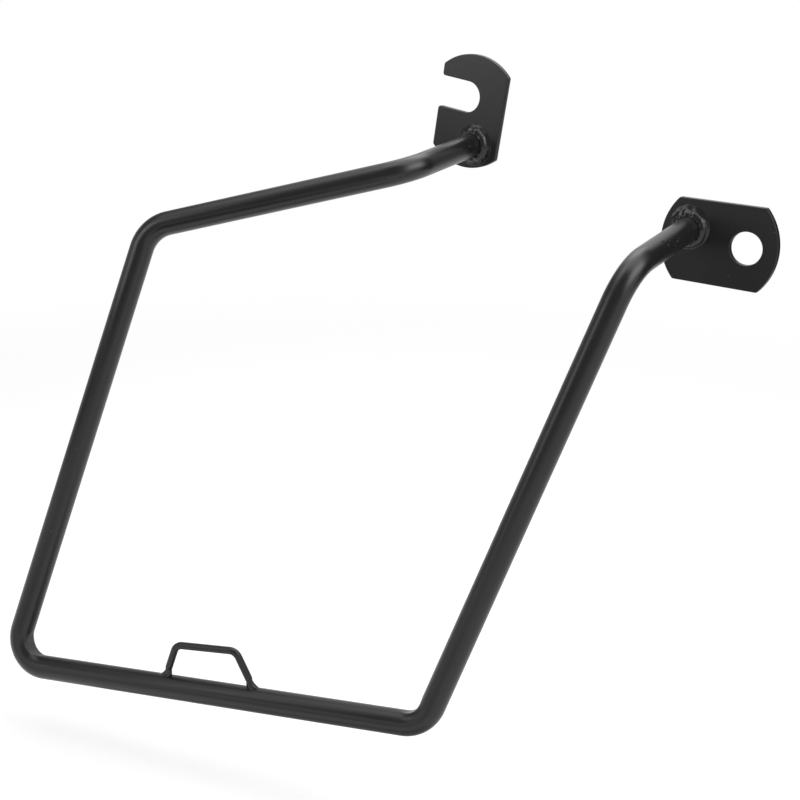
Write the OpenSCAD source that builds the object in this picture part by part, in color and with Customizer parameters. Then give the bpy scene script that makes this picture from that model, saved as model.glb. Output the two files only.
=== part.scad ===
// Pannier frame: a round bar bent to an open U, with a flat tab welded to each end
// and a small wire loop for a strap on its bottom run. All sizes are in millimetres.
// The origin is the centre of the round hole, on the tab's back face.
// X runs to the right along the holed tab, Y towards the vehicle and Z up.
// "Left", "out" and "drop" are steps along -X, -Y and -Z.

/* [Bar] */
// Diameter of the round bar
bar_d = 12; // [9:0.5:15]
// Depth pressed flat on the inside of the two lower bends
bend_flat = 1.1; // [0.4:0.1:1.6]
// Radius of the pin that pressed it
bend_pin_r = 7.5; // [6:0.1:8.5]

/* [Stub to the slotted tab] */
// How far it reaches out from the tab to its bend
slot_stub_out = 58.5; // [45:0.5:75]
// How far it drops on the way
slot_stub_drop = 6.6; // [0:0.1:15]
// How far it drifts to the left, negative to the right
slot_stub_left = -2.3; // [-10:0.1:10]

/* [Stub to the holed tab] */
// How far it reaches out from the tab to its bend
hole_stub_out = 64; // [50:0.5:80]
// How far it drops on the way
hole_stub_drop = 8.4; // [0:0.1:15]
// How far it drifts to the left, negative to the right
hole_stub_left = -1.7; // [-10:0.1:10]

/* [Top run] */
// How far it goes left
top_run_left = 118; // [95:0.5:150]
// How far it goes out
top_run_out = 60; // [45:0.5:80]
// How far it drops
top_run_drop = 36; // [20:0.5:50]

/* [Left upright] */
// How far it goes left
left_upright_left = 27.5; // [10:0.5:45]
// How far it goes out
left_upright_out = 81.5; // [60:0.5:100]
// How far it drops
left_upright_drop = 223.5; // [180:0.5:270]

/* [Right upright] */
// How far it goes left
right_upright_left = 46.5; // [25:0.5:65]
// How far it goes out
right_upright_out = 73.5; // [50:0.5:90]
// How far it drops
right_upright_drop = 209.5; // [170:0.5:250]

/* [Bend radii, to the bar's centre line] */
// Bend between the slotted tab's stub and the top run
slot_stub_bend_r = 20; // [16:0.5:26]
// Bend between the top run and the left upright
upper_left_bend_r = 19; // [15:0.5:26]
// Bend between the left upright and the bottom run
lower_left_bend_r = 15; // [13:0.5:22]
// Bend between the bottom run and the right upright
lower_right_bend_r = 15.5; // [13:0.5:22]
// Bend between the right upright and the holed tab's stub
hole_stub_bend_r = 24.5; // [18:0.5:30]

/* [Tabs] */
// Length of a tab, across its round ends
tab_l = 57; // [50:0.5:66]
// Width of a tab, across its straight sides
tab_w = 39; // [34:0.5:46]
// Thickness of the sheet
tab_t = 3; // [2:0.1:6]
// Radius of the small corners of a tab
tab_corner_r = 1.2; // [0.5:0.1:3]

/* [Place of the slotted tab] */
// How far its centre lies left of the hole
slot_tab_left = 153.5; // [125:0.5:185]
// How far its centre lies above the hole
slot_tab_up = 48; // [30:0.5:70]
// How far its top leans to the right, in degrees
slot_tab_lean = 7.5; // [0:0.5:20]

/* [Hole and slot] */
// Diameter of the hole
hole_d = 15.5; // [8:0.1:17]
// How far the hole lies right of its tab's centre
hole_offset = 13.5; // [11:0.1:16]
// Width of the slot
slot_w = 15.5; // [8:0.1:17]
// How far the slot's centre line lies above its tab's centre
slot_offset = 7; // [5:0.1:10]
// Depth of the slot, from the straight side to the round end
slot_depth = 24.2; // [18:0.1:30]
// Radius of the slot's two lips
slot_lip_r = 1.5; // [0.5:0.1:3]

/* [Where the bar meets the tabs] */
// How far the bar's end lies below the slotted tab's centre
slot_stub_below = 15.8; // [14:0.1:18]
// How far it lies right of that centre
slot_stub_aside = 5.2; // [0:0.1:6]
// How far the bar's end lies left of the holed tab's centre
hole_stub_beside = 14.7; // [13:0.1:17]
// How far it lies above that centre
hole_stub_above = 5.4; // [0:0.1:6]

/* [Weld beads on the tabs] */
// Width of a bead on the tab
bead_leg = 4.4; // [3:0.1:6]
// How much wider it is on its wide side, as a share
bead_lobe = 0.18; // [0:0.02:0.3]
// Height of a bead on the bar
bead_rise = 3.1; // [2:0.1:6]
// Bulge of a bead past the straight line between its two edges
bead_bulge = 1; // [0:0.1:1.5]
// Number of ripples in the ring
bead_ripples = 11; // [8:1:20]
// Height of a ripple
ripple_h = 0.35; // [0.1:0.05:0.8]
// How far a ripple's middle runs ahead of its ends, in degrees round the bar
ripple_curve = 12; // [0:0.5:15]

/* [Strap loop] */
// Diameter of the wire
wire_d = 3.6; // [2:0.1:4]
// Width between the loop's two corners
loop_top_w = 33.2; // [26:0.1:45]
// Height from the bar's surface to the middle of the top wire
loop_rise = 17.3; // [15:0.1:26]
// Splay of each leg, in degrees
loop_splay = 23.8; // [5:0.1:30]
// Slope of the whole loop against the bar, in degrees
loop_slope = 2; // [-4:0.1:4]
// Lean of the whole loop towards the vehicle, in degrees
loop_lean = 6.3; // [-10:0.1:10]
// Bend radius of the wire, to its centre line
loop_bend_r = 5; // [3:0.1:6]
// How far the loop's middle lies right of the bottom run's middle
loop_shift = 3; // [-30:0.1:30]

/* [Welds under the loop's feet] */
// Height of a nugget from the bar's surface to the cut end of the wire
nugget_h = 4; // [2.5:0.1:6]
// Half length of a nugget's foot along the bar
nugget_long_r = 4; // [2.5:0.1:6]
// Half width of a nugget's foot across the bar
nugget_wide_r = 1.9; // [1.7:0.1:3.5]
// Neck of a nugget, as a share of the wire
nugget_neck = 0.9; // [0.6:0.01:1]
// How far a nugget's foot lies outward of its neck
nugget_outward = 2.4; // [0:0.1:4]

/* [Hidden] */
$fn = 64;

bar_r = bar_d / 2;
wire_r = wire_d / 2;
out = [0, -1, 0];
up = [0, 0, 1];

// Centres of the tabs on their back faces, and the long axis of each
holed_tab_pos = [-hole_offset, 0, 0];
holed_tab_long = [1, 0, 0];
slotted_tab_pos = [-slot_tab_left, 0, slot_tab_up];
slotted_tab_long = [sin(slot_tab_lean), 0, cos(slot_tab_lean)];
slotted_tab_side = [cos(slot_tab_lean), 0, -sin(slot_tab_lean)];

// Corner points of the bar, from the slotted tab's front face to the holed tab's
slot_root = slotted_tab_pos - slot_stub_below * slotted_tab_long + slot_stub_aside * slotted_tab_side
    + tab_t * out;
slot_stub_corner = slot_root + [-slot_stub_left, -slot_stub_out, -slot_stub_drop];
upper_left_corner = slot_stub_corner + [-top_run_left, -top_run_out, -top_run_drop];
lower_left_corner = upper_left_corner + [-left_upright_left, -left_upright_out, -left_upright_drop];
hole_root = holed_tab_pos + [-hole_stub_beside, -tab_t, hole_stub_above];
hole_stub_corner = hole_root + [-hole_stub_left, -hole_stub_out, -hole_stub_drop];
lower_right_corner = hole_stub_corner + [-right_upright_left, -right_upright_out, -right_upright_drop];

// The bar runs on past both roots, and the tabs' front faces cut it there
slot_stub_dir = unit(slot_stub_corner - slot_root);
hole_stub_dir = unit(hole_stub_corner - hole_root);
bar_path = [slot_root - bar_r * slot_stub_dir, slot_stub_corner, upper_left_corner, lower_left_corner,
    lower_right_corner, hole_stub_corner, hole_root - bar_r * hole_stub_dir];
bar_radii = [0, slot_stub_bend_r, upper_left_bend_r, lower_left_bend_r, lower_right_bend_r,
    hole_stub_bend_r, 0];
lower_left = 3;
lower_right = 4;

// A rod is a hair thicker in its bends, and its straight runs end just inside them
bend_swell = 0.06;
bend_lap = 0.3;

// How far a cutting outline runs past the edge that it cuts
overcut = 1;

// Axes of the bottom run: along the bar, up from it in the loop's leaning plane, and across
run_mid = (lower_left_corner + lower_right_corner) / 2;
run_along = unit(lower_right_corner - lower_left_corner);
plumb_up = unit(up - (up * run_along) * run_along);
run_up = cos(loop_lean) * plumb_up + sin(loop_lean) * cross(plumb_up, run_along);
run_across = cross(run_up, run_along);

// The strap loop's own axes lean by its slope
loop_along = cos(loop_slope) * run_along + sin(loop_slope) * run_up;
loop_up = cos(loop_slope) * run_up - sin(loop_slope) * run_along;
loop_mid = run_mid + loop_shift * run_along;
loop_top = loop_mid + (bar_r + loop_rise) * loop_up;
left_leg_dir = -sin(loop_splay) * loop_along - cos(loop_splay) * loop_up;
right_leg_dir = sin(loop_splay) * loop_along - cos(loop_splay) * loop_up;
left_loop_corner = loop_top - loop_top_w / 2 * loop_along;
right_loop_corner = loop_top + loop_top_w / 2 * loop_along;
left_wire_end = leg_end(left_loop_corner, left_leg_dir);
right_wire_end = leg_end(right_loop_corner, right_leg_dir);

// Where each bead is widest, in degrees round the bar from the right
slotted_wide_at = -20;
holed_wide_at = 110;

// Sizes of the two kinds of weld mesh
bead_steps = 120;
bead_rows = 7;
nugget_steps = 28;
nugget_rows = 8;

// How far a nugget's foot would run on below the bar's surface, if the bar didn't cut it
nugget_sink = 0.8;

function unit(v) = v / norm(v);

// Where a leg stops, so that its end stands nugget_h above the bar's surface
function leg_end(corner, dir) =
    corner + dir * ((corner - loop_mid) * run_up - bar_r - nugget_h) / -(dir * run_up);

// Matrix that puts the origin at o, with the x and z axes along two given directions at right angles
function axes_at(o, x, z) = let (y = cross(z, x))
    [[x[0], y[0], z[0], o[0]], [x[1], y[1], z[1], o[1]], [x[2], y[2], z[2], o[2]], [0, 0, 0, 1]];

// Any direction at right angles to d
function square_to(d) = unit(abs(d[2]) < 0.9 ? cross(up, d) : cross([1, 0, 0], d));

// Half the angle turned through at corner i
function half_turn(path, i) =
    acos(unit(path[i] - path[i - 1]) * unit(path[i + 1] - path[i])) / 2;

// How far a straight run stops short of corner i: where the bend starts, less the lap into it
function setback(path, radii, i) =
    i == 0 || i == len(path) - 1 ? 0 : radii[i] * tan(half_turn(path, i)) - bend_lap;

// Centre of the bend at corner i, the direction from it to the bend's start, and the bend's own axis
function bend_centre(path, radii, i) = path[i]
    + unit(unit(path[i - 1] - path[i]) + unit(path[i + 1] - path[i])) * radii[i] / cos(half_turn(path, i));
function bend_axis(path, i) = unit(cross(path[i] - path[i - 1], path[i + 1] - path[i]));
function bend_start(path, i) = cross(unit(path[i] - path[i - 1]), bend_axis(path, i));

// A straight piece of rod between corners i and i + 1, which laps into the bends at its ends
module rod_run(path, radii, i, d) {
    dir = unit(path[i + 1] - path[i]);
    start = path[i] + dir * setback(path, radii, i);
    end = path[i + 1] - dir * setback(path, radii, i + 1);
    multmatrix(axes_at(start, square_to(dir), dir))
        cylinder(h = norm(end - start), d = d);
}

// Moves its children to the axis of the bend at corner i, with x towards the bend's start
module at_bend(path, radii, i)
    multmatrix(axes_at(bend_centre(path, radii, i), bend_start(path, i), bend_axis(path, i)))
        children();

// A round rod along a path of corner points, bent at each corner to its own radius
module rod(path, radii, d) {
    for (i = [0 : len(path) - 2])
        rod_run(path, radii, i, d);
    for (i = [1 : len(path) - 2])
        at_bend(path, radii, i)
            rotate_extrude(angle = 2 * half_turn(path, i))
                translate([radii[i], 0])
                    circle(d = d + bend_swell);
}

// The pin that the bar was bent round, which leaves a flat at the middle of the bend's inside.
// The half turn keeps the pin's own seam clear of the bar
module bending_pin(i)
    at_bend(bar_path, bar_radii, i)
        rotate(half_turn(bar_path, i) + 180)
            translate([bend_pin_r - (bar_radii[i] - bar_r + bend_flat), 0])
                cylinder(h = bar_d, r = bend_pin_r, center = true);

// Everything behind the tabs' front faces, near the root of a stub
module tab_side(root)
    translate([root[0] - bar_d, -tab_t, root[2] - bar_d])
        cube([2 * bar_d, 2 * bar_d, 2 * bar_d]);

module bent_bar()
    color([0.16, 0.16, 0.16])
        difference() {
            rod(bar_path, bar_radii, bar_d);
            tab_side(slot_root);
            tab_side(hole_root);
            bending_pin(lower_left);
            bending_pin(lower_right);
        }

// What rounding takes off a square corner at the origin, whose sides run along +x and +y
module corner_waste(r)
    difference() {
        translate([-overcut, -overcut])
            square(r + overcut);
        translate([r, r])
            circle(r = r);
        translate([r, -overcut])
            square(r + overcut);
        translate([-overcut, r])
            square(r + overcut);
    }

// What rounding takes off the corner between a straight side and a round end, in the first quadrant
module tab_corner_waste() {
    centre_y = tab_w / 2 - tab_corner_r;
    centre_x = sqrt(pow(tab_l / 2 - tab_corner_r, 2) - centre_y * centre_y);
    centre = [centre_x, centre_y];
    upward = [0, 2 * tab_corner_r];
    endward = 2 * tab_corner_r * unit(centre);
    difference() {
        polygon([centre, centre + upward, centre + upward + endward, centre + endward]);
        translate(centre)
            circle(r = tab_corner_r);
    }
}

// Outline of a tab blank: a disc between two straight sides, with its long axis along x
module tab_blank()
    difference() {
        intersection() {
            circle(d = tab_l, $fn = 180);
            square([tab_l + overcut, tab_w], center = true);
        }
        for (flip_x = [0, 1], flip_y = [0, 1])
            mirror([flip_x, 0])
                mirror([0, flip_y])
                    tab_corner_waste();
    }

// Outline of the slot, open towards -y, with rounded lips
module slot_outline() {
    end_y = slot_depth - tab_w / 2 - slot_w / 2;
    translate([slot_offset, end_y])
        circle(d = slot_w);
    translate([slot_offset - slot_w / 2, -tab_w / 2 - overcut])
        square([slot_w, tab_w / 2 + overcut + end_y]);
    for (side = [-1, 1])
        translate([slot_offset + side * slot_w / 2, -tab_w / 2])
            mirror([side < 0 ? 1 : 0, 0])
                corner_waste(slot_lip_r);
}

// Stands an outline up as a tab, with its back face at pos and its long axis along long_axis
module tab(pos, long_axis)
    multmatrix(axes_at(pos + tab_t * out, long_axis, -out))
        linear_extrude(tab_t)
            children();

module slotted_tab()
    color([0.24, 0.24, 0.24])
        tab(slotted_tab_pos, slotted_tab_long)
            difference() {
                tab_blank();
                slot_outline();
            }

module holed_tab()
    color([0.24, 0.24, 0.24])
        tab(holed_tab_pos, holed_tab_long)
            difference() {
                tab_blank();
                translate([hole_offset, 0])
                    circle(d = hole_d);
            }

// Height of the ripples at angle a and share s of the way down the face, between about -1 and 1.
// Each ripple is a crescent of uneven width, and a few slow swells run under them.
function ripple(a, s, seed) =
    let (
        crescent = ripple_curve * pow(2 * s - 1, 2),
        phase = bead_ripples * (a + crescent) + 50 * sin(2 * a + seed) + 35 * sin(3 * a + 2 * seed)
    )
    0.55 * sin(phase) + 0.2 * sin(2 * phase + 70) + 0.4 * sin(3 * a + seed) * sin(2 * a + 3 * seed);

// One section of a bead at angle a: down its face from the bar to the tab, then the corner under it.
// x, y and z are the bar's axes at the root, with z along the stub
function bead_section(root, x, y, z, a, seed, wide_at) =
    let (
        ray = cos(a) * x + sin(a) * y,
        tilt = (ray * out) / (z * out),
        wall = bar_r / cos(180 / bead_steps),
        leg = bead_leg * (1 + bead_lobe * cos(a - wide_at)) + ripple_h * ripple(a, 1, seed),
        rise = bead_rise + ripple_h * ripple(a, 0, seed)
    )
    concat(
        [for (k = [0 : bead_rows])
            let (
                s = k / bead_rows,
                bulge = (bead_bulge + ripple_h * ripple(a, s, seed)) * sin(180 * s) / sqrt(2),
                reach = wall + leg * s + bulge,
                height = rise * (1 - s) + bulge
            )
            root + reach * ray + (height - reach * tilt) * z],
        [root + wall * ray - wall * tilt * z]
    );

// Triangles of a ring of sections, each a closed loop of points, where the last joins the first
function ring_faces(sections, points) = [
    for (i = [0 : sections - 1], k = [0 : points - 1])
        let (
            next = (i + 1) % sections,
            far = (k + 1) % points,
            a = i * points + k,
            b = i * points + far,
            c = next * points + far,
            d = next * points + k
        )
        each [[a, b, c], [a, c, d]]
];

// A rippled bead round the bar, against the front face of a tab
module weld_bead(root, dir, seed, wide_at) {
    x = square_to(dir);
    y = cross(dir, x);
    sections = [for (i = [0 : bead_steps - 1])
        bead_section(root, x, y, dir, 360 * i / bead_steps, seed, wide_at)];
    polyhedron(
        points = [for (section = sections, p = section) p],
        faces = ring_faces(bead_steps, bead_rows + 2)
    );
}

module slotted_tab_weld()
    color([0.2, 0.2, 0.2])
        weld_bead(slot_root, slot_stub_dir, 40, slotted_wide_at);

module holed_tab_weld()
    color([0.2, 0.2, 0.2])
        weld_bead(hole_root, hole_stub_dir, 160, holed_wide_at);

module strap_loop()
    color([0.2, 0.2, 0.2])
        rod([left_wire_end, left_loop_corner, right_loop_corner, right_wire_end],
            [0, loop_bend_r, loop_bend_r, 0], wire_d);

// Row k of a nugget: a ring that grows outward from the wire's cut end to an oval foot in the bar
function nugget_ring(top, leg_dir, outward, k) =
    let (
        s = k / nugget_rows,
        flare = pow(s, 2),
        neck = wire_r * nugget_neck,
        centre = top - (nugget_h + nugget_sink) * s * run_up + nugget_outward * flare * outward,
        x = unit(cross(leg_dir, run_across) * (1 - s) + run_along * s)
    )
    [for (i = [0 : nugget_steps - 1])
        let (a = 360 * i / nugget_steps)
        centre + (neck + (nugget_long_r - neck) * flare) * cos(a) * x
            + (neck + (nugget_wide_r - neck) * flare) * sin(a) * run_across];

// Triangles of a stack of rings with flat ends
function stack_faces(rows, points) = concat(
    [[for (i = [0 : points - 1]) i]],
    [[for (i = [points - 1 : -1 : 0]) rows * points + i]],
    [for (k = [0 : rows - 1], i = [0 : points - 1])
        let (
            next = (i + 1) % points,
            a = k * points + i,
            b = k * points + next,
            c = (k + 1) * points + next,
            d = (k + 1) * points + i
        )
        each [[a, c, b], [a, d, c]]]
);

// The weld under one foot of the loop, cut to the bar that it sits on. The cutter's seam is on
// the bar's underside, clear of the weld
module foot_weld(top, leg_dir, outward)
    difference() {
        polyhedron(
            points = [for (k = [0 : nugget_rows], p = nugget_ring(top, leg_dir, outward, k)) p],
            faces = stack_faces(nugget_rows, nugget_steps)
        );
        multmatrix(axes_at(top - ((top - loop_mid) * run_up) * run_up, -run_up, run_along))
            cylinder(h = 2 * bar_d, d = bar_d, center = true);
    }

module loop_left_weld()
    color([0.2, 0.2, 0.2])
        foot_weld(left_wire_end, left_leg_dir, -run_along);

module loop_right_weld()
    color([0.2, 0.2, 0.2])
        foot_weld(right_wire_end, right_leg_dir, run_along);

bent_bar();
slotted_tab();
holed_tab();
slotted_tab_weld();
holed_tab_weld();
strap_loop();
loop_left_weld();
loop_right_weld();
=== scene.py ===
# %% [markdown]
# A pannier frame holds a soft saddlebag clear of a motorbike's rear wheel. It is one round steel bar,
# bent five times, with a flat steel tab welded to each end and a small wire loop for a strap on its
# bottom run. All of it wears one satin black powder coat.
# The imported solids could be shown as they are, but they are made of flat triangles with knife-sharp
# edges. A coat rounds every edge and softens every weld, so each piece gets a finer skin of its own
# on the same sizes. The camera and the studio come after the pieces.

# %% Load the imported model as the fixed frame
import math

import bpy
import numpy as np
from mathutils import Matrix, Vector


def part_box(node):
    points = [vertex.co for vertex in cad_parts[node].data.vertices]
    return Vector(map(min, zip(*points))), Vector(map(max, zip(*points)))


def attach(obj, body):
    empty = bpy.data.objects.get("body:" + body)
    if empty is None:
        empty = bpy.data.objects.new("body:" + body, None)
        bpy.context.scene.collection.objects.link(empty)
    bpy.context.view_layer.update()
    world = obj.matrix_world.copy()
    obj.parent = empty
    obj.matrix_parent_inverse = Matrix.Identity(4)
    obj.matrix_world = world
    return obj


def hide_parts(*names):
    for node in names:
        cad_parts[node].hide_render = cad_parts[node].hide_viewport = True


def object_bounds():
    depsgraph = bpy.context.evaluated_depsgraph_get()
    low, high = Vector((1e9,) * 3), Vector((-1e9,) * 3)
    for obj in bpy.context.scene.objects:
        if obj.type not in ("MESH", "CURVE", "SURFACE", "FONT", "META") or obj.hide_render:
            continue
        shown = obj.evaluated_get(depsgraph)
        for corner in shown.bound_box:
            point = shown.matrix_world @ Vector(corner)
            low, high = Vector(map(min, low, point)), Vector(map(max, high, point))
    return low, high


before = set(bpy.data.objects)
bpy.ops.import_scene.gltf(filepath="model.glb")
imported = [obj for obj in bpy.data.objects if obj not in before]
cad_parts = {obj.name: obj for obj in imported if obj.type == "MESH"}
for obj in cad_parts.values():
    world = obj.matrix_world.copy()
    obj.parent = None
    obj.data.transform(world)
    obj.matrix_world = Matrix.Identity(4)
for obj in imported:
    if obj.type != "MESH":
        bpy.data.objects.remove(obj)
cad_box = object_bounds()
print("solids:", sorted(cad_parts))

# %% [markdown]
# Blender works in metres and the drawing in millimetres. The sizes below are written in millimetres
# as on the drawing, and each mesh is turned into metres at the very end, when its points are handed
# over. "Left", "out" and "down" are steps along -X, -Y and -Z, and the origin is the centre of the
# round hole, on the tab's back face.

# %% Sizes of the bar, the tabs and the loop
MM = 0.001
BAR_R = 6.0
BEND_FLAT, BEND_PIN_R = 1.1, 7.5
BEND_RADII = (20.0, 19.0, 15.0, 15.5, 24.5)
TAB_LONG, TAB_WIDE, TAB_THICK, TAB_CORNER = 57.0, 39.0, 3.0, 1.2
HOLE_R, HOLE_OFFSET = 7.75, 13.5
SLOT_HALF, SLOT_OFFSET, SLOT_DEPTH, SLOT_LIP = 7.75, 7.0, 24.2, 1.5
WIRE_R, LOOP_WIDE, LOOP_RISE, LOOP_BEND, LOOP_SHIFT = 1.8, 33.2, 17.3, 5.0, 3.0
LOOP_SPLAY, LOOP_SLOPE, LOOP_LEAN = math.radians(23.8), math.radians(2.0), math.radians(6.3)
OUT = np.array([0.0, -1.0, 0.0])
UP = np.array([0.0, 0.0, 1.0])


def unit(v):
    """A vector divided by its own length."""
    v = np.asarray(v, float)
    return v / np.linalg.norm(v)


# %% Where the tabs stand, and the corner points of the bar
SLOT_TAB_AT, SLOT_TAB_LEAN = (-153.5, 0.0, 48.0), math.radians(7.5)
BAR_BELOW_SLOT_TAB, BAR_ASIDE_SLOT_TAB = 15.8, 5.2
BAR_BESIDE_HOLE_TAB, BAR_ABOVE_HOLE_TAB = 14.7, 5.4
SLOT_STUB, HOLE_STUB = (2.3, -58.5, -6.6), (1.7, -64.0, -8.4)
TOP_RUN = (-118.0, -60.0, -36.0)
LEFT_UPRIGHT, RIGHT_UPRIGHT = (-27.5, -81.5, -223.5), (-46.5, -73.5, -209.5)
slot_long = np.array([math.sin(SLOT_TAB_LEAN), 0.0, math.cos(SLOT_TAB_LEAN)])
slot_side = np.array([math.cos(SLOT_TAB_LEAN), 0.0, -math.sin(SLOT_TAB_LEAN)])
slot_centre = np.array(SLOT_TAB_AT)
hole_centre = np.array([-HOLE_OFFSET, 0.0, 0.0])
slot_root = slot_centre - BAR_BELOW_SLOT_TAB * slot_long + BAR_ASIDE_SLOT_TAB * slot_side + TAB_THICK * OUT
hole_root = hole_centre + [-BAR_BESIDE_HOLE_TAB, -TAB_THICK, BAR_ABOVE_HOLE_TAB]
slot_bend = slot_root + SLOT_STUB
upper_left = slot_bend + TOP_RUN
lower_left = upper_left + LEFT_UPRIGHT
hole_bend = hole_root + HOLE_STUB
lower_right = hole_bend + RIGHT_UPRIGHT
bar_corners = np.array([slot_root, slot_bend, upper_left, lower_left, lower_right, hole_bend, hole_root])
print("bar corners in mm:", bar_corners.round(1).tolist())

# %% [markdown]
# Every piece below ends as rows of points that are joined to their neighbours, so one helper makes
# them all. It takes a grid of points whose columns close round, lays four-sided faces between the
# rows, and closes both ends with one flat face. The signed volume, the sum of every face's fan of
# little pyramids to the origin, tells whether the faces point outwards; if it is negative, the
# order of the corners is turned round. The volume is printed too, as a check on the sizes.


# %% From a grid of points to a finished piece
def fan_volume(points, faces):
    """Sum over all faces of the pyramids from the origin to each triangle of the face, one sixth each."""
    total = 0.0
    for size in {len(f) for f in faces}:
        ring = points[np.array([f for f in faces if len(f) == size])]
        for k in range(1, size - 1):
            total += np.einsum("ij,ij->", ring[:, 0], np.cross(ring[:, k], ring[:, k + 1])) / 6
    return total


def make_piece(name, points, faces, crease=40):
    """A mesh object from points in mm and faces, with outward faces, smooth but for edges sharper
    than crease."""
    volume = fan_volume(points, faces)
    if volume < 0:
        faces = [f[::-1] for f in faces]
    mesh = bpy.data.meshes.new(name)
    mesh.from_pydata((points * MM).tolist(), [], faces)
    mesh.validate()
    mesh.shade_smooth()
    mesh.set_sharp_from_angle(angle=math.radians(crease))
    piece = bpy.data.objects.new(name, mesh)
    bpy.context.scene.collection.objects.link(piece)
    print(f"{name}: {len(mesh.polygons)} faces, {abs(volume) / 1000:.2f} cm3")
    return piece


def grid_faces(rows, columns, first=0):
    """Four-sided faces between the rows of a grid whose columns join round. Its first point has the
    number first."""
    index = first + np.arange(rows * columns).reshape(rows, columns)
    right = np.roll(index, -1, axis=1)
    quads = np.stack([index[:-1], right[:-1], right[1:], index[1:]], axis=-1)
    return quads.reshape(-1, 4).tolist()


def closed_faces(rows, columns, first=0):
    """The same faces, and one flat face over each end."""
    last = first + (rows - 1) * columns
    ends = [list(range(first, first + columns))[::-1], list(range(last, last + columns))]
    return grid_faces(rows, columns, first) + ends


def skin(name, grid, crease=40):
    """A closed piece from a grid of rings."""
    return make_piece(name, grid.reshape(-1, 3), closed_faces(*grid.shape[:2]), crease)


# %% [markdown]
# The bar and the wire are both rods: a circle carried along a path of straight runs and round bends.
# A curve object with a bevel would do it, but then the flats inside the bends could not be pressed
# into it. So the path is worked out here: a straight run gives stations a step apart, a bend gives
# one every degree or two, and a pair of axes across the rod is turned with the bends, so that the
# circle never twists.


# %% Stations along a bent rod
def turned(v, axis, angle):
    """Vector v turned about an axis by an angle: the part along the axis stays, the rest goes round."""
    along = axis * (axis @ v)
    return v * math.cos(angle) + np.cross(axis, v) * math.sin(angle) + along * (1 - math.cos(angle))


def rod_path(corners, radii, run_step, bend_step):
    """Stations (centre, first cross axis, second cross axis) along the rod, and each bend's (centre, axis,
    way out to its middle). A bend of radius r at a corner that turns by t starts r tan(t/2) before
    the corner."""
    way = unit(corners[1] - corners[0])
    first = unit(np.cross(way, UP if abs(way @ UP) < 0.9 else OUT))
    second = np.cross(way, first)
    at, stations, bends = corners[0], [], []
    for i, corner in enumerate(corners[1:]):
        last = i == len(radii)
        after = way if last else unit(corners[i + 2] - corner)
        turn = 0.0 if last else math.acos(way @ after)
        short = 0.0 if last else radii[i] * math.tan(turn / 2)
        run = (corner - way * short) - at
        count = max(2, round(np.linalg.norm(run) / run_step))
        stations += [(at + run * k / count, first, second) for k in range(count)]
        at = corner - way * short
        if last:
            stations.append((at, first, second))
            break
        axis = unit(np.cross(way, after))
        middle = at + np.cross(axis, way) * radii[i]
        bends.append((middle, axis, unit(corner - middle)))
        count = max(6, round(radii[i] * turn / bend_step))
        for k in range(count):
            angle = turn * k / count
            stations.append((middle + turned(at - middle, axis, angle),
                             turned(first, axis, angle), turned(second, axis, angle)))
        at = middle + turned(at - middle, axis, turn)
        first, second, way = turned(first, axis, turn), turned(second, axis, turn), after
    return [np.array(column) for column in zip(*stations)], bends


def rod_grid(stations, radius, sides):
    """A ring of points at each station: centre + radius (cos a first axis + sin a second axis)."""
    centre, first, second = stations
    a = np.linspace(0, 2 * np.pi, sides, endpoint=False)[None, :, None]
    return centre[:, None] + radius * (np.cos(a) * first[:, None] + np.sin(a) * second[:, None])


# %% [markdown]
# The bar is cold bent round a pin. At the two lower bends a thin pin has pressed a flat into the
# middle of the bend's inside, which shows as a crescent. Cutting it with a boolean leaves a ragged
# edge, so the points themselves are pressed out of the pin: a point that would be nearer to the pin's
# axis than its surface is moved straight out to it. A soft maximum instead of a hard one rounds the
# rim of the flat, as the powder coat does.


# %% The bar
LOWER_BENDS = (2, 3)
RIM_SOFT, RIM_REACH = 0.06, 0.48


def pressed(grid, bend, bend_r):
    """Distance to the pin's axis becomes pin + soft log(1 + exp((distance - pin) / soft)), with the pin
    set so far out of the bend's centre that it is BEND_FLAT deep in the bar at the bend's middle."""
    middle, axis, way = bend
    pin_at = middle + (bend_r - BAR_R + BEND_FLAT - BEND_PIN_R) * way
    arm = grid - pin_at
    along = (arm @ axis)[..., None] * axis
    spoke = arm - along
    reach = np.linalg.norm(spoke, axis=-1, keepdims=True)
    eased = BEND_PIN_R + RIM_SOFT * np.logaddexp(0, (reach - BEND_PIN_R) / RIM_SOFT)
    near = (np.linalg.norm(along, axis=-1, keepdims=True) < 2 * BAR_R) & (reach < BEND_PIN_R + RIM_REACH)
    return np.where(near, pin_at + along + spoke * (eased / reach), grid)


stations, bar_bends = rod_path(bar_corners, BEND_RADII, run_step=2.0, bend_step=0.5)
bar_grid = rod_grid(stations, BAR_R, sides=96)
for end, way in ((0, unit(slot_bend - slot_root)), (-1, unit(hole_root - hole_bend))):
    short = (-TAB_THICK - bar_grid[end, :, 1]) / way[1]
    bar_grid[end] += short[:, None] * way
for i in LOWER_BENDS:
    bar_grid = pressed(bar_grid, bar_bends[i], BEND_RADII[i])
bar = skin("bar_skin", bar_grid)

# %% [markdown]
# The strap loop is bent from thin wire to an open trapezoid, and it stands on the bottom run in a
# plane that leans a few degrees towards the vehicle. Its axes are the bottom run's own: along the
# bar, and up from it in that plane. Each leg stops a few millimetres above the bar, cut square, and a
# nugget of weld carries it there.

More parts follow.
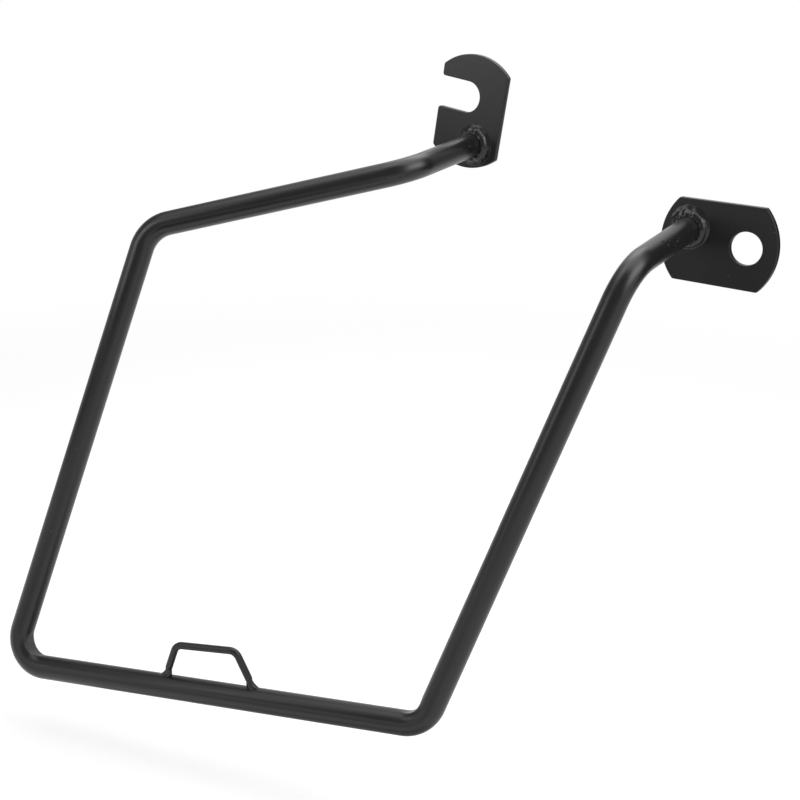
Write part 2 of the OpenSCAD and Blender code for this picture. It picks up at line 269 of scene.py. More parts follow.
# %% The strap loop
run_along = unit(lower_right - lower_left)
plumb_up = unit(UP - (UP @ run_along) * run_along)
run_up = math.cos(LOOP_LEAN) * plumb_up + math.sin(LOOP_LEAN) * np.cross(plumb_up, run_along)
run_across = np.cross(run_up, run_along)
loop_along = math.cos(LOOP_SLOPE) * run_along + math.sin(LOOP_SLOPE) * run_up
loop_up = math.cos(LOOP_SLOPE) * run_up - math.sin(LOOP_SLOPE) * run_along
loop_mid = (lower_left + lower_right) / 2 + LOOP_SHIFT * run_along
loop_top = loop_mid + (BAR_R + LOOP_RISE) * loop_up
leg_ways = [side * math.sin(LOOP_SPLAY) * loop_along - math.cos(LOOP_SPLAY) * loop_up for side in (-1, 1)]
loop_corners = [loop_top + side * LOOP_WIDE / 2 * loop_along for side in (-1, 1)]
NUGGET_HIGH = 4.0
CUT_SHARES, CUT_STEPS = (0.7, 0.93, 1.0), (0.0, 0.1, 0.3)


def leg_end(corner, way):
    """The point down the leg whose height over the bar's surface is the nugget's height."""
    return corner + way * ((corner - loop_mid) @ run_up - BAR_R - NUGGET_HIGH) / -(way @ run_up)


def ease_cut(grid, centre, rows):
    """The three rings next to a cut end, outermost first: each is drawn in to its share of the wire and
    set its step from the end, which rounds the edge of the cut."""
    heading = unit(centre[rows[1]] - centre[rows[0]])
    for row, share, step in zip(rows, CUT_SHARES, CUT_STEPS):
        grid[row] = centre[rows[0]] + step * heading + share * (grid[row] - centre[row])


wire_ends = [leg_end(c, w) for c, w in zip(loop_corners, leg_ways)]
wire_corners = np.array([wire_ends[0], loop_corners[0], loop_corners[1], wire_ends[1]])
stations, _ = rod_path(wire_corners, (LOOP_BEND, LOOP_BEND), run_step=0.8, bend_step=0.2)
wire_grid = rod_grid(stations, WIRE_R, sides=48)
ease_cut(wire_grid, stations[0], (0, 1, 2))
ease_cut(wire_grid, stations[0], (-1, -2, -3))
loop = skin("strap_loop_skin", wire_grid)
print("loop corners in mm:", wire_corners.round(1).tolist())

# %% [markdown]
# Both tabs are punched from 3 mm sheet as the same blank: a disc between two straight sides. One gets
# a round hole and the other an open slot. A tab could be cut with booleans and bevelled, but a bevel
# over many small edges is fragile. Here the outline is a chain of arcs whose outward directions are
# known, so an edge profile with two rounded corners can be carried round it, each point moved in
# along its own outward direction. The profile starts and ends on a narrow flat strip, which keeps
# the shading of the big flat faces clean.


# %% The outlines of the tabs
def arc(centre, radius, start, stop, count):
    """Points on an arc and their outward directions. An arc that runs backwards is a hollow, seen from
    inside."""
    a = np.radians(np.linspace(start, stop, count))
    ray = np.stack([np.cos(a), np.sin(a)], axis=1)
    return np.array(centre) + radius * ray, ray if stop > start else -ray


def side(start, stop, ray, count):
    """Points between two corners, ends left out, and their one outward direction."""
    share = np.linspace(0, 1, count + 2)[1:-1, None]
    start, stop = np.array(start), np.array(stop)
    return start + (stop - start) * share, np.repeat([ray], count, axis=0).astype(float)


def chain(*parts):
    """Several arcs and sides one after the other, as one outline of points and outward directions."""
    return tuple(np.concatenate(column) for column in zip(*parts))


corner_y = TAB_WIDE / 2 - TAB_CORNER
corner_x = math.sqrt((TAB_LONG / 2 - TAB_CORNER) ** 2 - corner_y ** 2)
tip = math.degrees(math.atan2(corner_y, corner_x))
END, CORNER, STRAIGHT = 90, 12, 60
half_wide = TAB_WIDE / 2
blank_head = [
    arc((0, 0), TAB_LONG / 2, -tip, tip, END),
    arc((corner_x, corner_y), TAB_CORNER, tip, 90, CORNER),
    side((corner_x, half_wide), (-corner_x, half_wide), (0, 1), STRAIGHT),
    arc((-corner_x, corner_y), TAB_CORNER, 90, 180 - tip, CORNER),
    arc((0, 0), TAB_LONG / 2, 180 - tip, 180 + tip, END),
    arc((-corner_x, -corner_y), TAB_CORNER, 180 + tip, 270, CORNER),
]
plain_side = side((-corner_x, -half_wide), (corner_x, -half_wide), (0, -1), STRAIGHT)
blank_tail = [arc((corner_x, -corner_y), TAB_CORNER, 270, 360 - tip, CORNER)]
slot_left, slot_right = SLOT_OFFSET - SLOT_HALF, SLOT_OFFSET + SLOT_HALF
lip_y = SLOT_LIP - half_wide
slot_cut = [
    arc((slot_left - SLOT_LIP, lip_y), SLOT_LIP, 270, 360, CORNER),
    arc((SLOT_OFFSET, SLOT_DEPTH - half_wide - SLOT_HALF), SLOT_HALF, 180, 0, END),
    arc((slot_right + SLOT_LIP, lip_y), SLOT_LIP, 180, 270, CORNER),
]
slotted_outline = chain(*blank_head, *slot_cut, *blank_tail)
plain_outline = chain(*blank_head, plain_side, *blank_tail)
print("outline points:", len(slotted_outline[0]), "and", len(plain_outline[0]))


# %% The edge of a tab, and both tabs
EDGE_ROUND, EDGE_FLAT, EDGE_POINTS = 0.42, 0.35, 7


def edge_profile():
    """Inset and depth round the edge of the sheet: a flat strip, a quarter circle, the wall, a quarter
    circle, a strip."""
    a = np.linspace(0, np.pi / 2, EDGE_POINTS)
    inset = EDGE_ROUND * (1 - np.sin(a))
    depth = EDGE_ROUND * (1 - np.cos(a))
    inset = np.concatenate([[EDGE_ROUND + EDGE_FLAT], inset, inset[::-1], [EDGE_ROUND + EDGE_FLAT]])
    depth = np.concatenate([[0], depth, (TAB_THICK - depth)[::-1], [TAB_THICK]])
    return inset, depth


def rim(outline, centre, long_way, side_way):
    """The edge profile carried round an outline, as rings of points from the front face to the back."""
    points, ray = outline
    inset, depth = edge_profile()
    flat = points[None] - inset[:, None, None] * ray[None]
    front = centre + TAB_THICK * OUT
    return front + flat[..., :1] * long_way + flat[..., 1:] * side_way - depth[:, None, None] * OUT


TAB_CREASE = 50
slotted_rim = rim(slotted_outline, slot_centre, slot_long, slot_side)
slotted_tab = skin("slotted_tab_skin", slotted_rim, TAB_CREASE)

# %% [markdown]
# The holed tab needs a face with a hole in it, which one flat face can't be. The outline and the hole
# get the same number of points, each pair in the same direction from the hole's centre, and a strip
# of four-sided faces joins the two rings. The hole's own edge is the same profile, carried round a
# circle that is seen from inside.

# %% The holed tab
spokes = plain_outline[0] - [HOLE_OFFSET, 0.0]
spokes /= np.linalg.norm(spokes, axis=1, keepdims=True)
hole_outline = (np.array([HOLE_OFFSET, 0.0]) + HOLE_R * spokes, -spokes)
right_way, down_way = np.array([1.0, 0.0, 0.0]), -UP
outer = rim(plain_outline, hole_centre, right_way, down_way)
inner = rim(hole_outline, hole_centre, right_way, down_way)
rows, columns = outer.shape[:2]
last = (rows - 1) * columns
faces = grid_faces(rows, columns) + [f[::-1] for f in grid_faces(rows, columns, rows * columns)]
ring = np.arange(columns)
following = np.roll(ring, -1)
for level, turn in ((0, -1), (last, 1)):
    strip = np.stack([ring, following, following + rows * columns, ring + rows * columns], axis=1) + level
    faces += strip[:, ::turn].tolist()
points = np.concatenate([outer, inner]).reshape(-1, 3)
holed_tab = make_piece("holed_tab_skin", points, faces, TAB_CREASE)

# %% [markdown]
# The bar is welded to each tab all the way round, with a nearly round bead that runs out into a low
# apron on the tab. It was laid in short overlapping pools, so it is a row of uneven crescents, and in
# places a groove parts it in two narrow passes. The lumps are strong above and below the bar and
# nearly gone at its sides, where the pools ran together. A sphere for each pool would look like a
# string of pearls; instead the whole bead is one surface over two angles: a round the bar, and phi
# from the bar (0 degrees) over the bead to the tab (90 degrees).

# %% The shape of a bead
BEAD_LEG, BEAD_LOBE, BEAD_RISE, APRON = 4.4, 0.18, 2.9, 12
BEAD_RIPPLES, RIPPLE_HIGH, RIPPLE_CURVE = 11, 0.3, 8
SLOW_SWAY, FAST_SWAY = 50, 35
WAVE, OVERTONE, SWELL = 0.6, 0.1, 0.4
SEAM_AT, SEAM_SLOW_SWAY, SEAM_FAST_SWAY, SEAM_DEEP, SEAM_WIDE = 80, 6, 4, 0.3, 8
ROUGH_AT, SMOOTHEST = 90, 0.1
TOE_SOFT, TOE_DEPTH = 0.22, 0.05
PHI_FROM, PHI_TO = -9, 99
BEAD_CREASE = 60


def sin_deg(a):
    """Sine of an angle in degrees."""
    return np.sin(np.radians(a))


def ripple(a, s, seed):
    """Crescents of uneven width: a wave in a + bend of (2s - 1)^2, its phase swayed by two slow waves."""
    crescent = RIPPLE_CURVE * (2 * s - 1) ** 2
    sway = SLOW_SWAY * sin_deg(2 * a + seed) + FAST_SWAY * sin_deg(3 * a + 2 * seed)
    phase = BEAD_RIPPLES * (a + crescent) + sway
    swell = SWELL * sin_deg(3 * a + seed) * sin_deg(2 * a + 3 * seed)
    return WAVE * sin_deg(phase) + OVERTONE * sin_deg(2 * phase + 70) + swell


def roughness_at(a):
    """1 at the angle ROUGH_AT and opposite it, and SMOOTHEST half-way between."""
    return SMOOTHEST + (1 - SMOOTHEST) * (0.5 + 0.5 * sin_deg(2 * (a - ROUGH_AT) + 90))


def bead_lumps(a, phi, seed):
    """Ripples times an arch over phi, less a groove exp(-((phi - seam) / SEAM_WIDE)^2)."""
    seam = SEAM_AT + SEAM_SLOW_SWAY * sin_deg(2 * a + seed) + SEAM_FAST_SWAY * sin_deg(5 * a + 2 * seed)
    groove = SEAM_DEEP * np.exp(-((phi - seam) / SEAM_WIDE) ** 2)
    arch = sin_deg(2 * phi.clip(0, 90))
    return roughness_at(a) * (RIPPLE_HIGH * ripple(a, phi / 90, seed) * arch - groove)


def toe(x):
    """Eases a distance that falls to zero, so that it runs out flat to just under the surface:
    TOE_SOFT log(1 + exp((x + TOE_DEPTH) / TOE_SOFT)) - TOE_DEPTH."""
    return TOE_SOFT * np.logaddexp(0, (x + TOE_DEPTH) / TOE_SOFT) - TOE_DEPTH


# %% The weld beads
def bead_grid(root, way, seed, wide_at, around=720, down=72):
    """Rings from the bar to the tab, size sin(phi) out from the bar's surface and size cos(phi) up it,
    less the tilt that lets height 0 follow the tab's face. The size is rise + (leg - rise)
    (phi / 90)^APRON and the lumps."""
    x = unit(np.cross(UP, way))
    y = np.cross(way, x)
    a = np.linspace(0, 360, around, endpoint=False)[None, :]
    phi = np.linspace(PHI_FROM, PHI_TO, down)[:, None]
    ray = np.cos(np.radians(a))[..., None] * x + np.sin(np.radians(a))[..., None] * y
    tilt = (ray @ OUT) / (way @ OUT)
    rough = roughness_at(a)
    lobe = 1 + BEAD_LOBE * sin_deg(a - wide_at + 90)
    leg = BEAD_LEG * lobe + RIPPLE_HIGH * rough * ripple(a, 1.0, seed)
    rise = BEAD_RISE + RIPPLE_HIGH * rough * ripple(a, 0.0, seed)
    size = rise + (leg - rise) * (phi.clip(0, 90) / 90) ** APRON + bead_lumps(a, phi, seed)
    reach = BAR_R + toe(size * sin_deg(phi))
    height = toe(size * sin_deg(90 - phi))
    ring = root + reach[..., None] * ray + (height - reach * tilt)[..., None] * way
    under = root + (BAR_R - 2 * TOE_DEPTH) * ray + (-2 * TOE_DEPTH - BAR_R * tilt)[..., None] * way
    return np.concatenate([ring, under], axis=0)


def weld_bead(name, root, way, seed, wide_at):
    """A closed ring of weld: the grid's last row joins its first, under the bead."""
    grid = bead_grid(root, way, seed, wide_at)
    rows, columns = grid.shape[:2]
    faces = grid_faces(rows, columns)
    first, last_row = np.arange(columns), (rows - 1) * columns + np.arange(columns)
    loop_back = np.stack([last_row, np.roll(last_row, -1), np.roll(first, -1), first], axis=1)
    return make_piece(name, grid.reshape(-1, 3), faces + loop_back.tolist(), BEAD_CREASE)


slotted_bead = weld_bead("slotted_tab_bead", slot_root, unit(slot_bend - slot_root), seed=40, wide_at=-20)
holed_bead = weld_bead("holed_tab_bead", hole_root, unit(hole_bend - hole_root), seed=160, wide_at=110)

# %% [markdown]
# Each leg of the loop stands on a nugget: a bit narrower than the wire where it leaves it, and flared
# to an oval foot on the bar, all to the outside. It is a loft: rings that grow with the square of the
# way down. Where a ring would run into the bar, its points are moved out to just under the bar's
# surface, so that the foot follows the round of the bar and no gap shows.

# %% The nuggets under the loop
FOOT_LONG, FOOT_WIDE, NECK, FOOT_OUTWARD, FOOT_SINK = 4.0, 1.9, 0.9, 2.4, 0.8
FOOT_BITE = 0.08
NUGGET_LUMP, NUGGET_CREASE = 0.05, 70


def nugget_grid(top, way, outward, seed, around=72, down=40):
    """Rings from the wire's cut end (s = 0) to the foot (s = 1): half widths neck + (foot - neck) s^2,
    and a centre that goes straight down and out by FOOT_OUTWARD s^2."""
    s = np.linspace(0, 1, down)[:, None]
    a = np.linspace(0, 2 * np.pi, around, endpoint=False)[None, :]
    neck = WIRE_R * NECK
    lump = 1 + NUGGET_LUMP * np.sin(np.pi * s) * np.sin(3 * a + 4 * s + seed)
    flare = s ** 2
    length = (neck + (FOOT_LONG - neck) * flare) * lump
    width = (neck + (FOOT_WIDE - neck) * flare) * lump
    x = np.cross(way, run_across) * (1 - s) + run_along * s
    x = (x / np.linalg.norm(x, axis=-1, keepdims=True))[:, None]
    middle = top - (NUGGET_HIGH + FOOT_SINK) * s * run_up + FOOT_OUTWARD * flare * outward
    ring = middle[:, None] + (length * np.cos(a))[..., None] * x
    ring = ring + (width * np.sin(a))[..., None] * run_across
    arm = ring - loop_mid
    along = (arm @ run_along)[..., None] * run_along
    spoke = arm - along
    reach = np.linalg.norm(spoke, axis=-1, keepdims=True)
    return loop_mid + along + spoke * np.maximum(1, (BAR_R - FOOT_BITE) / reach)


left_grid = nugget_grid(wire_ends[0], leg_ways[0], -run_along, seed=0.7)
right_grid = nugget_grid(wire_ends[1], leg_ways[1], run_along, seed=2.9)
left_nugget = skin("loop_left_nugget", left_grid, NUGGET_CREASE)
right_nugget = skin("loop_right_nugget", right_grid, NUGGET_CREASE)

# %% [markdown]
# Welding throws small drops. A few have frozen to the outer side of the stub near the holed tab, and
# the coat has covered them, so they show as bright specks. Each is a ball of half a millimetre to a
# millimetre across, sunk in the bar to its middle. One mesh holds them all, and each drop is given
# by its distance from the tab along the stub, its angle round the stub and its radius.

# %% Weld spatter on the stub
SPATTER = ((26.5, 22, 0.44), (24.8, 31, 0.28), (36.0, 32, 0.46), (36.8, 60, 0.42), (32.6, 44, 0.26),
           (29.5, 12, 0.26))
SPATTER_ROWS, SPATTER_COLUMNS, POLE = 8, 12, 0.01


def ball(centre, radius):
    """Rings of a sphere from pole to pole; the poles are rings of a hundredth of its radius."""
    tall = np.linspace(POLE, np.pi - POLE, SPATTER_ROWS)[:, None]
    turn = np.linspace(0, 2 * np.pi, SPATTER_COLUMNS, endpoint=False)[None, :]
    shape = np.sin(tall) * np.cos(turn), np.sin(tall) * np.sin(turn), np.cos(tall) * np.ones_like(turn)
    return centre + radius * np.stack(shape, axis=-1)


stub_way = unit(hole_bend - hole_root)
stub_x = unit(np.cross(UP, stub_way))
stub_y = np.cross(stub_way, stub_x)
points, faces = [], []
for far, angle, radius in SPATTER:
    ray = math.cos(math.radians(angle)) * stub_x + math.sin(math.radians(angle)) * stub_y
    first = len(points) * SPATTER_ROWS * SPATTER_COLUMNS
    points.append(ball(hole_root + far * stub_way + BAR_R * ray, radius).reshape(-1, 3))
    faces += closed_faces(SPATTER_ROWS, SPATTER_COLUMNS, first)
spatter = make_piece("weld_spatter", np.concatenate(points), faces)
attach(spatter, "root")

# %% [markdown]
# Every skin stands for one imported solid, rides on the one body and takes its finish from the record's
# slot of the same coat. The solid is then hidden, but stays in the frame for the physics.

# %% Each skin takes the place of its solid
skins = (
    (bar, "bent_bar", "bar_coat"),
    (loop, "strap_loop", "bar_coat"),
    (slotted_tab, "slotted_tab", "tab_coat"),
    (holed_tab, "holed_tab", "tab_coat"),
    (slotted_bead, "slotted_tab_weld", "weld_coat"),
    (holed_bead, "holed_tab_weld", "weld_coat"),
    (left_nugget, "loop_left_weld", "weld_coat"),
    (right_nugget, "loop_right_weld", "weld_coat"),
)


def past_box(piece, node):
    """How far the piece reaches out of its solid's box, in mm."""
    low, high = (np.array(corner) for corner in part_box(node))
    own = np.array([v.co for v in piece.data.vertices])
    return max((low - own.min(0)).max(), (own.max(0) - high).max()) / MM


for piece, node, coat in skins:
    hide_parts(node)
    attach(piece, "root")
    print(f"{node}: skin past the solid's box by {past_box(piece, node):.2f} mm")

# %% [markdown]
# Powder coat is a baked plastic film. Close up it is not a mirror: it has a soft orange-peel swell
# about two millimetres across and a few thousandths of a millimetre high, a much finer grit, and its
# thickness and gloss drift slowly over the part. Two node groups hold these, so that the bar, the
# sheet and the welds can each use them with values of their own: one gives the height of the surface
# in millimetres, the other gives masks for tone and dust.

# %% Node groups for the coat
GRIT_FINER, SAG_PER_METRE, GRAIN_PER_METRE = 6.0, 90.0, 1400.0
DUST_RARITY = 0.82


def node_group(name, inputs, outputs):
    """An empty shader group with named inputs {name: default} and named float outputs."""
    group = bpy.data.node_groups.new(name, "ShaderNodeTree")
    group.interface.new_socket("Vector", in_out="INPUT", socket_type="NodeSocketVector")
    for label, value in inputs.items():
        socket = group.interface.new_socket(label, in_out="INPUT", socket_type="NodeSocketFloat")
        socket.default_value = value
    for label in outputs:
        group.interface.new_socket(label, in_out="OUTPUT", socket_type="NodeSocketFloat")
    return group, group.nodes.new("NodeGroupInput"), group.nodes.new("NodeGroupOutput")


def math_node(tree, operation, a, b):
    """A Math node over two values, each a socket or a number."""
    node = tree.nodes.new("ShaderNodeMath")
    node.operation = operation
    for socket, value in zip(node.inputs, (a, b)):
        if isinstance(value, (int, float)):
            socket.default_value = value
        else:
            tree.links.new(value, socket)
    return node.outputs[0]


def noise(tree, vector, scale, detail, roughness=0.5):
    """A Noise texture over a vector, its scale a socket or a number of waves per metre."""
    node = tree.nodes.new("ShaderNodeTexNoise")
    node.inputs["Detail"].default_value = detail
    node.inputs["Roughness"].default_value = roughness
    tree.links.new(vector, node.inputs["Vector"])
    if isinstance(scale, (int, float)):
        node.inputs["Scale"].default_value = scale
    else:
        tree.links.new(scale, node.inputs["Scale"])
    return node.outputs["Fac"]


# %% The height of the film
def build_peel():
    """Height in mm: peel times a noise, plus grit times a noise GRIT_FINER times finer, plus sag times
    a slow noise."""
    group, given, result = node_group(
        "powder_peel", {"Peel per metre": 420.0, "Peel": 0.005, "Grit": 0.001, "Sag": 0.02}, ["Height"])
    vector = given.outputs["Vector"]
    swell = noise(group, vector, given.outputs["Peel per metre"], 2.0)
    finer = math_node(group, "MULTIPLY", given.outputs["Peel per metre"], GRIT_FINER)
    fine = noise(group, vector, finer, 2.0)
    slow = noise(group, vector, SAG_PER_METRE, 1.0)
    height = math_node(group, "MULTIPLY", swell, given.outputs["Peel"])
    height = math_node(group, "ADD", height, math_node(group, "MULTIPLY", fine, given.outputs["Grit"]))
    height = math_node(group, "ADD", height, math_node(group, "MULTIPLY", slow, given.outputs["Sag"]))
    group.links.new(height, result.inputs["Height"])
    return group


# %% Masks for tone and dust
def build_tone():
    """Drift is a slow noise from 0 to 1, Grain a fast one, and Dust is 1 in sparse specks of under a
    millimetre."""
    group, given, result = node_group(
        "coat_tone", {"Drift per metre": 28.0, "Specks per metre": 160.0, "Speck size": 0.05},
        ["Drift", "Grain", "Dust"])
    vector = given.outputs["Vector"]
    group.links.new(noise(group, vector, given.outputs["Drift per metre"], 3.0), result.inputs["Drift"])
    group.links.new(noise(group, vector, GRAIN_PER_METRE, 3.0, 0.7), result.inputs["Grain"])
    cells = group.nodes.new("ShaderNodeTexVoronoi")
    group.links.new(vector, cells.inputs["Vector"])
    group.links.new(given.outputs["Specks per metre"], cells.inputs["Scale"])
    lone = group.nodes.new("ShaderNodeSeparateColor")
    group.links.new(cells.outputs["Color"], lone.inputs["Color"])
    few = math_node(group, "GREATER_THAN", lone.outputs["Red"], DUST_RARITY)
    close = math_node(group, "LESS_THAN", cells.outputs["Distance"], given.outputs["Speck size"])
    group.links.new(math_node(group, "MULTIPLY", few, close), result.inputs["Dust"])
    return group


peel_group, tone_group = build_peel(), build_tone()
print("node groups:", peel_group.name, tone_group.name)

# %% [markdown]
# The coat itself is a Principled shader: a nearly black base with the plain reflection of plastic. Its
# sheen is between satin and gloss: soft broad reflections with readable edges. The three finishes
# differ as they do on the part. The film is even on the drawn bar, a little duller on the rolled
# sheet, and thickest and glossiest on the welds, where it pools between the ripples.

# %% The three finishes
DUST_COLOUR, DUST_COVER, DUST_ROUGH, GRAIN_ROUGH = (0.12, 0.12, 0.115, 1), 0.6, 0.3, 0.06


def linked_group(tree, group, vector, values):
    """A group placed in a material, with its own values."""
    node = tree.nodes.new("ShaderNodeGroup")
    node.node_tree = group
    tree.links.new(vector, node.inputs["Vector"])
    for label, value in values.items():
        node.inputs[label].default_value = value
    return node


def map_range(tree, value, low, high, start=0.3, stop=0.7):
    """A value from start to stop, spread from low to high. A noise mostly lies from 0.3 to 0.7."""
    node = tree.nodes.new("ShaderNodeMapRange")
    tree.links.new(value, node.inputs["Value"])
    for socket, number in zip(("From Min", "From Max", "To Min", "To Max"), (start, stop, low, high)):
        node.inputs[socket].default_value = number
    return node


def drifting(tree, value, low, high):
    """The result of map_range over a noise."""
    return map_range(tree, value, low, high).outputs["Result"]


def powder_coat(name, dark, light, gloss, peel, tone):
    """A black powder coat: colour drifts from dark to light, roughness from gloss[0] to gloss[1]."""
    material = bpy.data.materials.new(name)
    material.use_nodes = True
    tree = material.node_tree
    shader = tree.nodes["Principled BSDF"]
    place = tree.nodes.new("ShaderNodeTexCoord").outputs["Object"]
    look = linked_group(tree, tone_group, place, tone)
    colour = tree.nodes.new("ShaderNodeMix")
    colour.data_type = "RGBA"
    colour.inputs["A"].default_value = (*dark, 1)
    colour.inputs["B"].default_value = (*light, 1)
    tree.links.new(drifting(tree, look.outputs["Drift"], 0, 1), colour.inputs["Factor"])
    dusty = tree.nodes.new("ShaderNodeMix")
    dusty.data_type = "RGBA"
    dusty.inputs["B"].default_value = DUST_COLOUR
    tree.links.new(colour.outputs["Result"], dusty.inputs["A"])
    tree.links.new(math_node(tree, "MULTIPLY", look.outputs["Dust"], DUST_COVER), dusty.inputs["Factor"])
    tree.links.new(dusty.outputs["Result"], shader.inputs["Base Color"])
    centred = math_node(tree, "SUBTRACT", look.outputs["Grain"], 0.5)
    grain = math_node(tree, "MULTIPLY", centred, GRAIN_ROUGH)
    rough = math_node(tree, "ADD", drifting(tree, look.outputs["Drift"], *gloss), grain)
    rough = math_node(tree, "ADD", rough, math_node(tree, "MULTIPLY", look.outputs["Dust"], DUST_ROUGH))
    tree.links.new(rough, shader.inputs["Roughness"])
    film = linked_group(tree, peel_group, place, peel)
    bump = tree.nodes.new("ShaderNodeBump")
    bump.inputs["Distance"].default_value = MM
    tree.links.new(film.outputs["Height"], bump.inputs["Height"])
    tree.links.new(bump.outputs["Normal"], shader.inputs["Normal"])
    return material


# %% Their colours, gloss and film
finishes = {
    "bar_coat": powder_coat("bar_coat", (0.008, 0.008, 0.0081), (0.011, 0.011, 0.0112), (0.29, 0.34),
                            {"Peel per metre": 420.0, "Peel": 0.005, "Grit": 0.0008, "Sag": 0.02},
                            {"Drift per metre": 24.0}),
    "tab_coat": powder_coat("tab_coat", (0.007, 0.007, 0.0071), (0.010, 0.010, 0.0102), (0.33, 0.39),
                            {"Peel per metre": 480.0, "Peel": 0.005, "Grit": 0.0012, "Sag": 0.02},
                            {"Drift per metre": 40.0}),
    "weld_coat": powder_coat("weld_coat", (0.008, 0.008, 0.0081), (0.012, 0.012, 0.0122), (0.19, 0.26),
                             {"Peel per metre": 600.0, "Peel": 0.003, "Grit": 0.0005, "Sag": 0.03},
                             {"Drift per metre": 120.0}),
}
spatter.data.materials.append(finishes["weld_coat"])
for piece, node, coat in skins:
    piece.data.materials.append(finishes[coat])
    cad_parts[node].data.materials.clear()
    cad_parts[node].data.materials.append(finishes[coat])
print("finishes:", sorted(finishes))

# %% [markdown]
# The part is shown over a plain white ground. The floor is a wide sheet of pale paper a little under
# the lowest bend. It is matt and takes the part's soft shadow; to camera and gloss rays it also glows
# a little, so that the lit paper reaches white with no more light on the part. Further out it fades
# into the white world, so that no edge and no horizon shows.
# The cards of the studio are flat sheets too, so both are made by the same helpers. Places and sizes
# in the studio are in metres, as Blender counts.


# %% Flat sheets for the studio
def panel_frame(axis, at, first, second):
    """Centre and sizes of a panel square to an axis, from its range along each of the other two axes."""
    a, b = [k for k in range(3) if k != axis]
    centre = np.zeros(3)
    centre[axis], centre[a], centre[b] = at, sum(first) / 2, sum(second) / 2
    return centre, a, b, first[1] - first[0], second[1] - second[0]


def sheet(name, axis, at, first, second, material):
    """A flat sheet over the panel."""
    centre, a, b, wide, high = panel_frame(axis, at, first, second)
    corners = []
    for i, j in ((-1, -1), (1, -1), (1, 1), (-1, 1)):
        corner = centre.copy()
        corner[a] += i * wide / 2
        corner[b] += j * high / 2
        corners.append(corner.tolist())
    mesh = bpy.data.meshes.new(name)
    mesh.from_pydata(corners, [], [(0, 1, 2, 3)])
    mesh.materials.append(material)
    piece = bpy.data.objects.new(name, mesh)
    bpy.context.scene.collection.objects.link(piece)
    return piece


def matt(name, grey):
    """A material with no gloss, and its shader, ready to glow white by its emission strength."""
    material = bpy.data.materials.new(name)
    material.use_nodes = True
    shader = material.node_tree.nodes["Principled BSDF"]
    shader.inputs["Base Color"].default_value = (grey, grey, grey, 1)
    shader.inputs["Specular IOR Level"].default_value = 0.0
    shader.inputs["Emission Color"].default_value = (1, 1, 1, 1)
    return material, shader


# %% The floor
FLOOR_DROP, FLOOR_HALF = 0.03, 2.0
FADE_FROM, FADE_TO = 0.35, 1.0
FLOOR_GREY, FLOOR_ROUGH, FLOOR_GLOW = 0.8, 0.9, 0.37
floor_z = cad_box[0].z - FLOOR_DROP
part_centre = (cad_box[0] + cad_box[1]) / 2


def seen_rays(tree):
    """1 on rays from the camera, off gloss or through glass, 0 on the soft light that lands on things."""
    path = tree.nodes.new("ShaderNodeLightPath").outputs
    either = math_node(tree, "MAXIMUM", path["Is Camera Ray"], path["Is Glossy Ray"])
    return math_node(tree, "MAXIMUM", either, path["Is Transmission Ray"])


floor_paper, shader = matt("floor_paper", FLOOR_GREY)
shader.inputs["Roughness"].default_value = FLOOR_ROUGH
tree = floor_paper.node_tree
tree.links.new(math_node(tree, "MULTIPLY", seen_rays(tree), FLOOR_GLOW), shader.inputs["Emission Strength"])
away = tree.nodes.new("ShaderNodeVectorMath")
away.operation = "DISTANCE"
tree.links.new(tree.nodes.new("ShaderNodeTexCoord").outputs["Object"], away.inputs[0])
away.inputs[1].default_value = (part_centre.x, part_centre.y, floor_z)
fade = map_range(tree, away.outputs["Value"], 1.0, 0.0, FADE_FROM, FADE_TO)
fade.interpolation_type = "SMOOTHSTEP"
tree.links.new(fade.outputs["Result"], shader.inputs["Alpha"])
floor_x, floor_y = ((middle - FLOOR_HALF, middle + FLOOR_HALF) for middle in part_centre[:2])
sheet("floor", 2, floor_z, floor_x, floor_y, floor_paper)
print("floor at", round(floor_z, 4))

# %% [markdown]
# Black gloss shows little but what it reflects, so the studio is built for its reflections. Large
# softboxes stand above, behind and to the right, and a smaller pair to the front left; they draw the
# bright lines along the bar. Between them stand grey and black cards, which draw the dark bands: one
# behind the camera that carries on overhead, one at the left, one behind to the right, and one on the
# floor in front, with two small ones near the part: one under the bottom run and one to the left. The
# cards are there for gloss rays only. They cast no shadow and the camera doesn't see them, so they
# take no light off the part.

# %% The world
SOFT_LIGHT = 0.5
world = bpy.data.worlds.new("studio")
bpy.context.scene.world = world
world.use_nodes = True
tree = world.node_tree
background = tree.nodes["Background"]
background.inputs["Color"].default_value = (1, 1, 1, 1)
strength = math_node(tree, "ADD", math_node(tree, "MULTIPLY", seen_rays(tree), 1 - SOFT_LIGHT), SOFT_LIGHT)
tree.links.new(strength, background.inputs["Strength"])


# %% Softboxes and cards
def softbox(name, axis, at, first, second, brightness):
    """An area lamp over the panel that faces the part. Its power is brightness x pi x area, so that it
    adds that much to what a mirror would show there."""
    centre, a, _, wide, high = panel_frame(axis, at, first, second)
    light = bpy.data.lights.new(name, "AREA")
    light.shape = "RECTANGLE"
    light.size, light.size_y, light.energy = wide, high, brightness * math.pi * wide * high
    z = np.zeros(3)
    z[axis] = 1.0 if at > part_centre[axis] else -1.0
    x = np.zeros(3)
    x[a] = 1.0
    turn = Matrix([list(row) for row in np.stack([x, np.cross(z, x), z], axis=1)]).to_4x4()
    lamp = bpy.data.objects.new(name, light)
    lamp.matrix_world = Matrix.Translation(centre) @ turn
    lamp.visible_camera = False
    bpy.context.scene.collection.objects.link(lamp)


def card(name, axis, at, first, second, grey):
    """A flat card over the panel, of an even grey, that only gloss rays see."""
    board, shader = matt(name, 0.0)
    shader.inputs["Emission Strength"].default_value = grey
    piece = sheet(name, axis, at, first, second, board)
    piece.visible_camera = piece.visible_diffuse = piece.visible_shadow = piece.visible_transmission = False


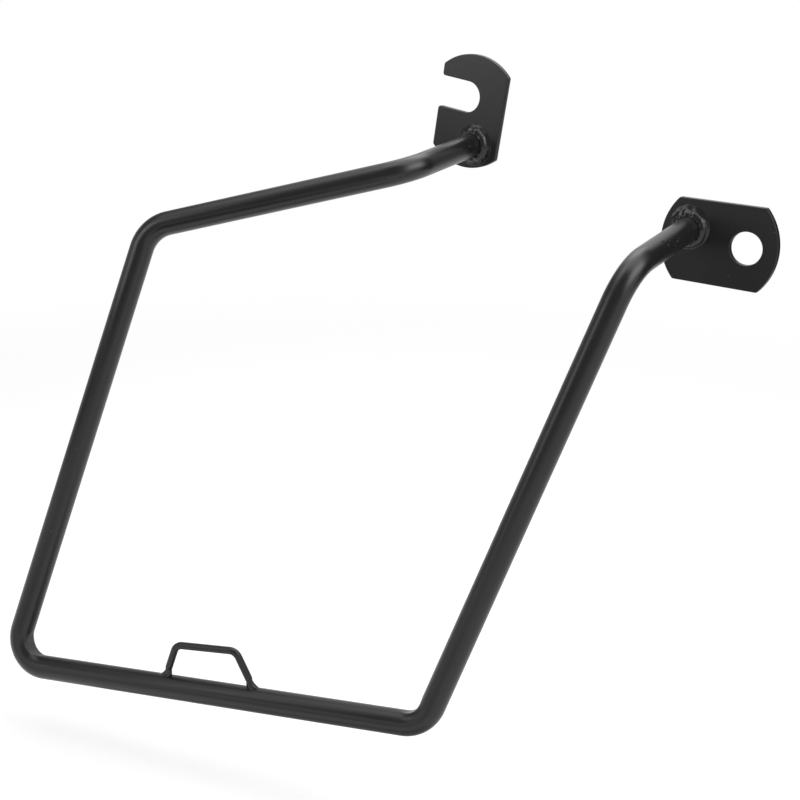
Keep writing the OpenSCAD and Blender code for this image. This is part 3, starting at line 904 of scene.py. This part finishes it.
# %% The studio
softbox("right_box", 0, 0.42, (-0.24, 0.20), (0.17, 0.56), 3.0)
softbox("top_box", 2, 0.45, (-0.32, 0.42), (-0.20, 0.22), 1.4)
softbox("top_back_box", 2, 0.42, (-0.50, -0.08), (0.10, 0.44), 2.0)
softbox("front_left_box", 1, -0.56, (-0.68, -0.38), (0.03, 0.36), 2.2)
softbox("top_left_box", 2, 0.60, (-0.60, -0.28), (-0.46, -0.02), 0.8)
card("front_card", 1, -0.60, (-0.33, 0.95), (-0.03, 0.75), 0.25)
card("top_card", 2, 0.68, (-0.14, 0.48), (-0.58, -0.20), 0.0)
card("left_low_card", 0, -0.75, (-0.62, 0.48), (-0.20, 0.15), 0.6)
card("left_high_card", 0, -0.78, (-1.10, 0.25), (0.10, 0.60), 0.25)
card("back_right_card", 1, 0.28, (0.02, 0.58), (-0.14, 0.95), 0.02)
card("floor_card", 2, floor_z + 0.004, (-0.85, 0.05), (-1.28, -0.46), 0.02)
# The grey card under the bottom run is painted shade: only gloss rays see it, so the floor below the bar
# looks darker in the bar's reflection.
card("shade_under_bar_card", 2, floor_z + 0.006, (-0.26, -0.04), (-0.20, -0.12), 0.5)
card("near_left_card", 1, -0.35, (-0.62, -0.31), (-0.10, 0.02), 0.25)

# %% [markdown]
# The camera stands to the right of the part and a little above it, as in the photograph: its place and
# its three axes were solved from the corners of the bar and the tabs. A 55 mm lens on a 36 mm frame
# gives the photograph's perspective.

# %% The camera
CAMERA_AT = (0.19629, -0.53969, 0.11423)
CAMERA_RIGHT = (0.80404, 0.59385, 0.02928)
CAMERA_DOWN = (0.21843, -0.24922, -0.94349)
CAMERA_AHEAD = (-0.55299, 0.76501, -0.3301)
LENS, SENSOR = 54.975, 36.0
camera_data = bpy.data.cameras.new("camera")
camera_data.lens, camera_data.sensor_width = LENS, SENSOR
camera_data.clip_start, camera_data.clip_end = 0.01, 100.0
camera = bpy.data.objects.new("camera", camera_data)
axes = [Vector(CAMERA_RIGHT), -Vector(CAMERA_DOWN), -Vector(CAMERA_AHEAD)]
camera.matrix_world = Matrix.Translation(CAMERA_AT) @ Matrix(axes).transposed().to_4x4()
bpy.context.scene.collection.objects.link(camera)
bpy.context.scene.camera = camera
bpy.context.scene.view_settings.view_transform = "Standard"

# %% Print the CAD box
print("CAD box:", [[round(c, 4) for c in v] for v in cad_box])
